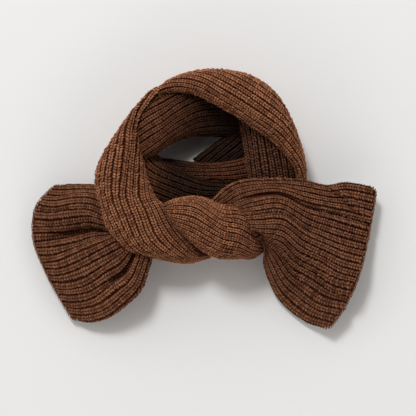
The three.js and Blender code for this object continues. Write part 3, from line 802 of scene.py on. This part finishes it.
knit_strand("front_wrap", [
    # outer side and inner side (x, y), height of the crown, lean, heights and tucks of the outer and inner
    # side, height of the base, and the ribs that lie on the inner and on the outer side
    [-51, -15, -48, -4, 38, 0.0, 24, 24, 0.3, 0.3, 0, 0, 9],
    [-37, -31, -30, 2, 52, 0.0, 28, 28, 0.3, 0.3, 0, 0, 11.5],
    [-18, -48, -9, 4, 60, 0.0, 24, 28, 0.3, 0.3, 0, -0.8, 13.5],
    [3, -63, 9, -1, 64, 0.0, 20, 28, 0.3, 0.3, 0, -2.6, 14.8],
    [22, -69, 23, -5, 65, 0.0, 18, 30, 0.3, 0.3, 0, -4.0, 14.6],
    [42, -69, 40, -4, 61, 0.0, 16, 29, 0.3, 0.3, 0, -4.3, 13.3],
    [58, -69, 54, -8, 53, 0.0, 15, 25, 0.3, 0.3, 0, -4.3, 11.2],
    [72, -60, 70, -16, 40, 0.0, 13, 20, 0.3, 0.3, 0, -4.3, 8.3],
], 3, (0.2, 0.136), ["table"])

# The left of the loop: the same ribbed band, pushed together by hand to a thick strand that comes round
# from the back to the front. Two deep creases between its ribs show where it is folded lengthwise.
knit_strand("loop_left", [
    [8, -68, 14, -56, 24, 0.0, 10, 12, 0.3, 0.3, 0, -3.8, 3.6],
    [-21, -75, -3, -60, 33, 0.0, 15, 18, 0.3, 0.3, 0, -3.6, 6.2],
    [-52, -70, -16, -48, 44, -0.1, 18, 20, 0.3, 0.3, 0, -3.3, 8.6],
    [-90, -60, -33, -28, 51, -0.1, 18, 24, 0.3, 0.3, 0, -2.9, 10.8],
    [-117, -31, -48, -8, 54, 0.0, 18, 26, 0.3, 0.3, 0, -2.4, 12.0],
    [-128, 3, -60, 5, 53, 0.0, 18, 26, 0.3, 0.3, 0, -1.4, 11.6],
    [-130, 28, -69, 27, 51, 0.1, 18, 26, 0.3, 0.3, 0, 0.0, 11.0],
    [-124, 50, -74, 48, 49, 0.1, 18, 26, 0.3, 0.4, 0, 1.2, 10.4],
    [-112, 70, -78, 67, 47, 0.1, 18, 28, 0.3, 0.5, 0, 2.6, 9.0],
    [-98, 91, -78, 87, 45, 0.0, 18, 28, 0.3, 0.6, 0, 3.1, 7.8],
    [-82, 112, -72, 106, 43, 0.0, 18, 28, 0.3, 0.6, 0, 3.0, 6.6],
    [-64, 131, -56, 123, 38, 0.0, 16, 24, 0.3, 0.6, 0, 3.0, 5.6],
    [-46, 140, -42, 132, 30, 0.0, 14, 18, 0.3, 0.6, 0, 3.0, 5.0],
], 4, (0.18, 0.25), ["left_tail_cloth", "table"], creases=[
    [5.0, 5.0, 10.5, 5.0, -7, 0.45],
    [4.4, 4.0, 8.2, 4.0, -7, 0.45],
])

# The back and right of the loop: the same band, its outer ribs rolled over the inner layers. It runs on from
# the left of the loop, with one crease along it, and comes down to the front at the right.
knit_strand("loop_top", [
    [-70, 120, -64, 114, 26, 0, 12, 18, 0.3, 0.5, 0, 0, 2.3],
    [-54, 136, -46, 128, 38, 0, 16, 28, 0.3, 0.6, 0, 0, 3.9],
    [-34, 148, -26, 131, 46, 0, 18, 37, 0.3, 0.7, 0, 0, 5.8],
    [-8, 155, -6, 126, 53, 0, 18, 43, 0.3, 0.8, 0, 0, 7.8],
    [22, 156, 15, 115, 58, 0.1, 18, 46, 0.3, 0.8, 0, 0, 9.7],
    [55, 149, 38, 102, 60, 0.1, 18, 47, 0.3, 0.8, 0, 0, 11.3],
    [83, 130, 60, 87, 60, 0.1, 18, 47, 0.3, 0.8, 0, 0, 11.3],
    [101, 102, 80, 73, 57, 0.1, 18, 45, 0.3, 0.8, 0, 0, 9.7],
    [113, 72, 96, 56, 53, 0.1, 18, 42, 0.3, 0.7, 0, 0, 8.1],
    [120, 44, 109, 37, 47, 0.1, 18, 37, 0.3, 0.6, 0, 0, 6.2],
    [120, 18, 112, 14, 38, 0, 16, 28, 0.3, 0.5, 0, 0, 4.5],
    [110, -4, 102, -4, 28, 0, 12, 18, 0.3, 0.4, 0, 0, 3.9],
], 5, (0.18, 0.225), ["table"], creases=[
    [1.5, 2.0, 10.0, 2.0, -4, 0.45],
])

# The inner layers at the back left: the rest of the band's width, folded in under its outer ribs, so that it
# slopes down into the loop. The wool is the same brown, painted darker as shade, and darker still to the
# right, deeper in the loop, as painted shade.
INNER_SHADE_PAINTED_STOPS = [
    (0.25, (0.030, 0.0078, 0.0030)), (0.52, (0.084, 0.0260, 0.0108)), (0.82, (0.165, 0.062, 0.028))]
INNER_SHEEN = 0.08
INNER_SHADE_PAINTED_GROUND = [(0.020, 0.0055, 0.0021), (0.060, 0.019, 0.008)]


def shade_painted_inner_wool(name, dark_x, light_x):
    """The yarn and ground of an inner layer, in tones darkened as painted shade, with more painted shade at
    the first x that fades by the second, in metres.
    """
    depth = (dark_x, light_x)
    yarn = yarn_material(name + "_yarn", INNER_SHADE_PAINTED_STOPS, INNER_SHEEN, depth)
    ground = ground_material(name + "_ground", *INNER_SHADE_PAINTED_GROUND, depth)
    return {"yarn": yarn, "ground": ground}


knit_strand("loop_inner_left", [
    [-84, 116, -92, 36, 34, -0.1, 14, 18, 0.3, 0.3, 0, 0.5, 14.5],
    [-64, 126, -74, 48, 41, -0.1, 16, 24, 0.3, 0.3, 0, 0, 14],
    [-46, 135, -54, 60, 40, 0, 16, 27, 0.3, 0.3, 0, -0.6, 13.4],
    [-26, 141, -36, 71, 36, 0, 15, 25, 0.3, 0.3, 0, -1.3, 12.7],
    [0, 143, -14, 78, 29, -0.1, 12, 20, 0.3, 0.3, 0, -2, 12],
    [26, 136, 10, 78, 22, -0.2, 10, 15, 0.3, 0.3, 0, -2.6, 11.4],
    [50, 118, 34, 78, 17, -0.2, 8, 11, 0.3, 0.3, 0, -3, 9.2],
    [74, 100, 58, 82, 14, -0.2, 8, 9, 0.3, 0.3, 0, -3.2, 6.4],
], 6, (0.14, 0.15), ["table"], **shade_painted_inner_wool("inner", 0.015, -0.062))

# The inner layers at the right: the same band, folded in under its outer ribs and seen as five steep ribs
# that come down to the slot band. The same wool, with the loop's shade painted into a darker yarn and ground.
deep_yarn = yarn_material("deep_yarn", [
    (0.28, (0.018, 0.0045, 0.0018)), (0.52, (0.060, 0.0190, 0.0080)), (0.76, (0.130, 0.052, 0.025))], 0.06)
# The ground in the loop's shade: painted nearly black, as shade.
shaded_ground = ground_material("shaded_ground", (0.006, 0.002, 0.001), (0.018, 0.006, 0.003))
knit_strand("loop_inner_right", [
    [92, 104, 42, 100, 30, 0.0, 12, 12, 0.3, 0.3, 0, 0, 9.6],
    [98, 80, 46, 80, 36, 0.0, 14, 15, 0.3, 0.3, 0, 0, 10.4],
    [106, 60, 49, 62, 39, 0.0, 16, 18, 0.3, 0.3, 0, 0, 11.2],
    [111, 42, 51, 46, 41, 0.0, 16, 20, 0.3, 0.3, 0, 0, 11.4],
    [113, 25, 54, 28, 41, 0.0, 16, 20, 0.3, 0.3, 0, 0, 11.4],
    [111, 4, 58, 8, 36, 0.0, 16, 18, 0.3, 0.3, 0, 0, 11.2],
], 7, (0.14, 0.1), ["table"], yarn=deep_yarn, ground=shaded_ground)

# The inner layers at the front left: the inner edge of the same band, turned in low under its outer ribs. It
# lies down in the shade of the loop, which is painted into its wool, darker to the right.
knit_strand("loop_inner_front", [
    [-92, 44, -68, 66, 22, 0, 10, 9, 0.3, 0.3, 0, 0, 7.8],
    [-84, 14, -50, 48, 29, -0.2, 12, 9, 0.3, 0.3, 0, 0, 10.9],
    [-56, -8, -20, 34, 27, -0.2, 12, 9, 0.3, 0.3, 0, 0, 12.2],
    [-26, -16, 12, 25, 23, -0.2, 11, 8, 0.3, 0.3, 0, 0, 11.9],
    [14, -12, 52, 24, 19, -0.1, 9, 8, 0.3, 0.3, 0, 0, 10.9],
], 8, (0.1, 0.13), ["table"], **shade_painted_inner_wool("front", -0.030, -0.078))

# The slot band: a strip in the same wool and rib, knitted on across the inside of the loop, with about four
# of its ribs in view. It holds the end that is pulled through. Its wool is darkened as painted shade, more so
# to the left.
knit_strand("slot_band", [
    [66, 25, 66, 58, 16, 0.0, 7, 7, 0.2, 0.2, 0, 0, 8.4],
    [38, 21, 35, 49, 18, 0.0, 7, 7, 0.2, 0.2, 0, 0, 8.4],
    [12, 21, 10, 45, 18, 0.0, 7, 7, 0.2, 0.2, 0, 0, 8.4],
    [-14, 21, -14, 46, 16, 0.0, 6, 6, 0.2, 0.2, 0, 0, 8.4],
    [-42, 23, -43, 50, 13, 0.0, 6, 6, 0.2, 0.2, 0, 0, 8.4],
    [-60, 26, -62, 52, 11, 0.0, 5, 5, 0.2, 0.2, 0, 0, 8.4],
], 9, (0.065, 0.125), ["table"], **shade_painted_inner_wool("band", -0.045, 0.025))

# The slot's edge: ribs in the same wool, knitted in one with the slot band, that run up from it to the back
# right. They lie at the bottom of the loop, and the shade there is painted into their yarn and ground, almost
# black.
shaded_yarn = yarn_material("shaded_yarn", [
    (0.25, (0.010, 0.003, 0.0015)), (0.52, (0.022, 0.008, 0.004)), (0.82, (0.040, 0.016, 0.008))], 0.03)
knit_strand("slot_edge", [
    [0, 42, -14, 50, 9, 0.0, 4, 4, 0.2, 0.2, 0, 0, 4.2],
    [27, 42, 8, 66, 12, 0.0, 5, 5, 0.2, 0.2, 0, 0, 7],
    [52, 52, 28, 80, 14, 0.0, 6, 6, 0.2, 0.2, 0, 0, 8.3],
    [72, 68, 46, 96, 14, 0.0, 6, 6, 0.2, 0.2, 0, 0, 8.3],
], 10, (0.06, 0.085), ["table"], yarn=shaded_yarn, ground=shaded_ground)

# The one stitch was only the pattern for all the others.
bpy.data.objects.remove(one_stitch)

# The studio, which is no part of the scarf: a pale matt table top, one round soft light from the back left,
# the glow of a room's walls, and a camera straight above with the picture's framing.
TABLE_HALF = 3
table_top = bpy.data.meshes.new("table")
table_top.from_pydata([(x * TABLE_HALF, y * TABLE_HALF, 0) for x, y in ((-1, -1), (1, -1), (1, 1), (-1, 1))],
                      [], [(0, 1, 2, 3)])
table = bpy.data.objects.new("table", table_top)
bpy.context.scene.collection.objects.link(table)
pale = Finish("pale_table")
matt = pale.node("ShaderNodeBsdfPrincipled", inputs={
    "Base Color": (0.75, 0.75, 0.75, 1), "Roughness": 0.8, "Specular IOR Level": 0.2}, out="BSDF")
pale.node("ShaderNodeOutputMaterial", inputs={"Surface": matt})
table_top.materials.append(pale.made)


def soft_light(name, place, size, power, colour):
    """A round light of this size in metres and power in watts, turned to the middle of the table."""
    lamp = bpy.data.lights.new(name, "AREA")
    lamp.shape, lamp.size, lamp.energy, lamp.color = "DISK", size, power, colour
    made = bpy.data.objects.new(name, lamp)
    made.location = place
    made.rotation_euler = (-Vector(place)).to_track_quat("-Z", "Y").to_euler()
    bpy.context.scene.collection.objects.link(made)


soft_light("window", (-1.9, 4.8, 4.6), 1.7, 328, (0.968, 0.985, 1.0))

# The room's pale walls glow all round low down, and more weakly higher up on the window's side.
WALL_GLOW = 0.7
LOW_GLOW = 2.5
room = Finish("room", "worlds")
way = room.node("ShaderNodeTexCoord", out="Generated")
side = room.node("ShaderNodeSeparateXYZ", inputs={0: way}, out="X")
back = room.node("ShaderNodeSeparateXYZ", inputs={0: way}, out="Y")
up = room.node("ShaderNodeSeparateXYZ", inputs={0: way}, out="Z")
black, white = (0, 0, 0), (1, 1, 1)
wall = room.node("ShaderNodeValToRGB", {
    "stops": [(0.40, black), (0.55, white), (0.80, white), (0.90, black)]}, {"Fac": up})
window_side = room.node("ShaderNodeValToRGB", {"stops": [(0.1, black), (0.5, white)]},
                        {"Fac": 0.9 * back - 0.4 * side})
low_wall = room.node("ShaderNodeValToRGB", {
    "stops": [(0.0, white), (0.40, white), (0.55, black)]}, {"Fac": up})
glow = WALL_GLOW * wall * window_side + LOW_GLOW * low_wall
backdrop = room.node("ShaderNodeBackground", inputs={"Color": (1.0, 0.96, 0.925, 1), "Strength": glow})
room.node("ShaderNodeOutputWorld", inputs={"Surface": backdrop})
bpy.context.scene.world = room.made
bpy.context.scene.view_settings.view_transform = "Standard"

# The camera is this high over the table. The picture's width is measured a little above the table, at about
# the middle of the knit.
HEIGHT = 2.4
FRAMED_AT = 0.025
PICTURE_WIDTH = 0.4992
SENSOR = 36
lens = bpy.data.cameras.new("camera")
lens.sensor_width = SENSOR
lens.lens = SENSOR * (HEIGHT - FRAMED_AT) / PICTURE_WIDTH
camera = bpy.data.objects.new("camera", lens)
camera.location = (0.0042, -0.0090, HEIGHT)
bpy.context.scene.collection.objects.link(camera)
bpy.context.scene.camera = camera
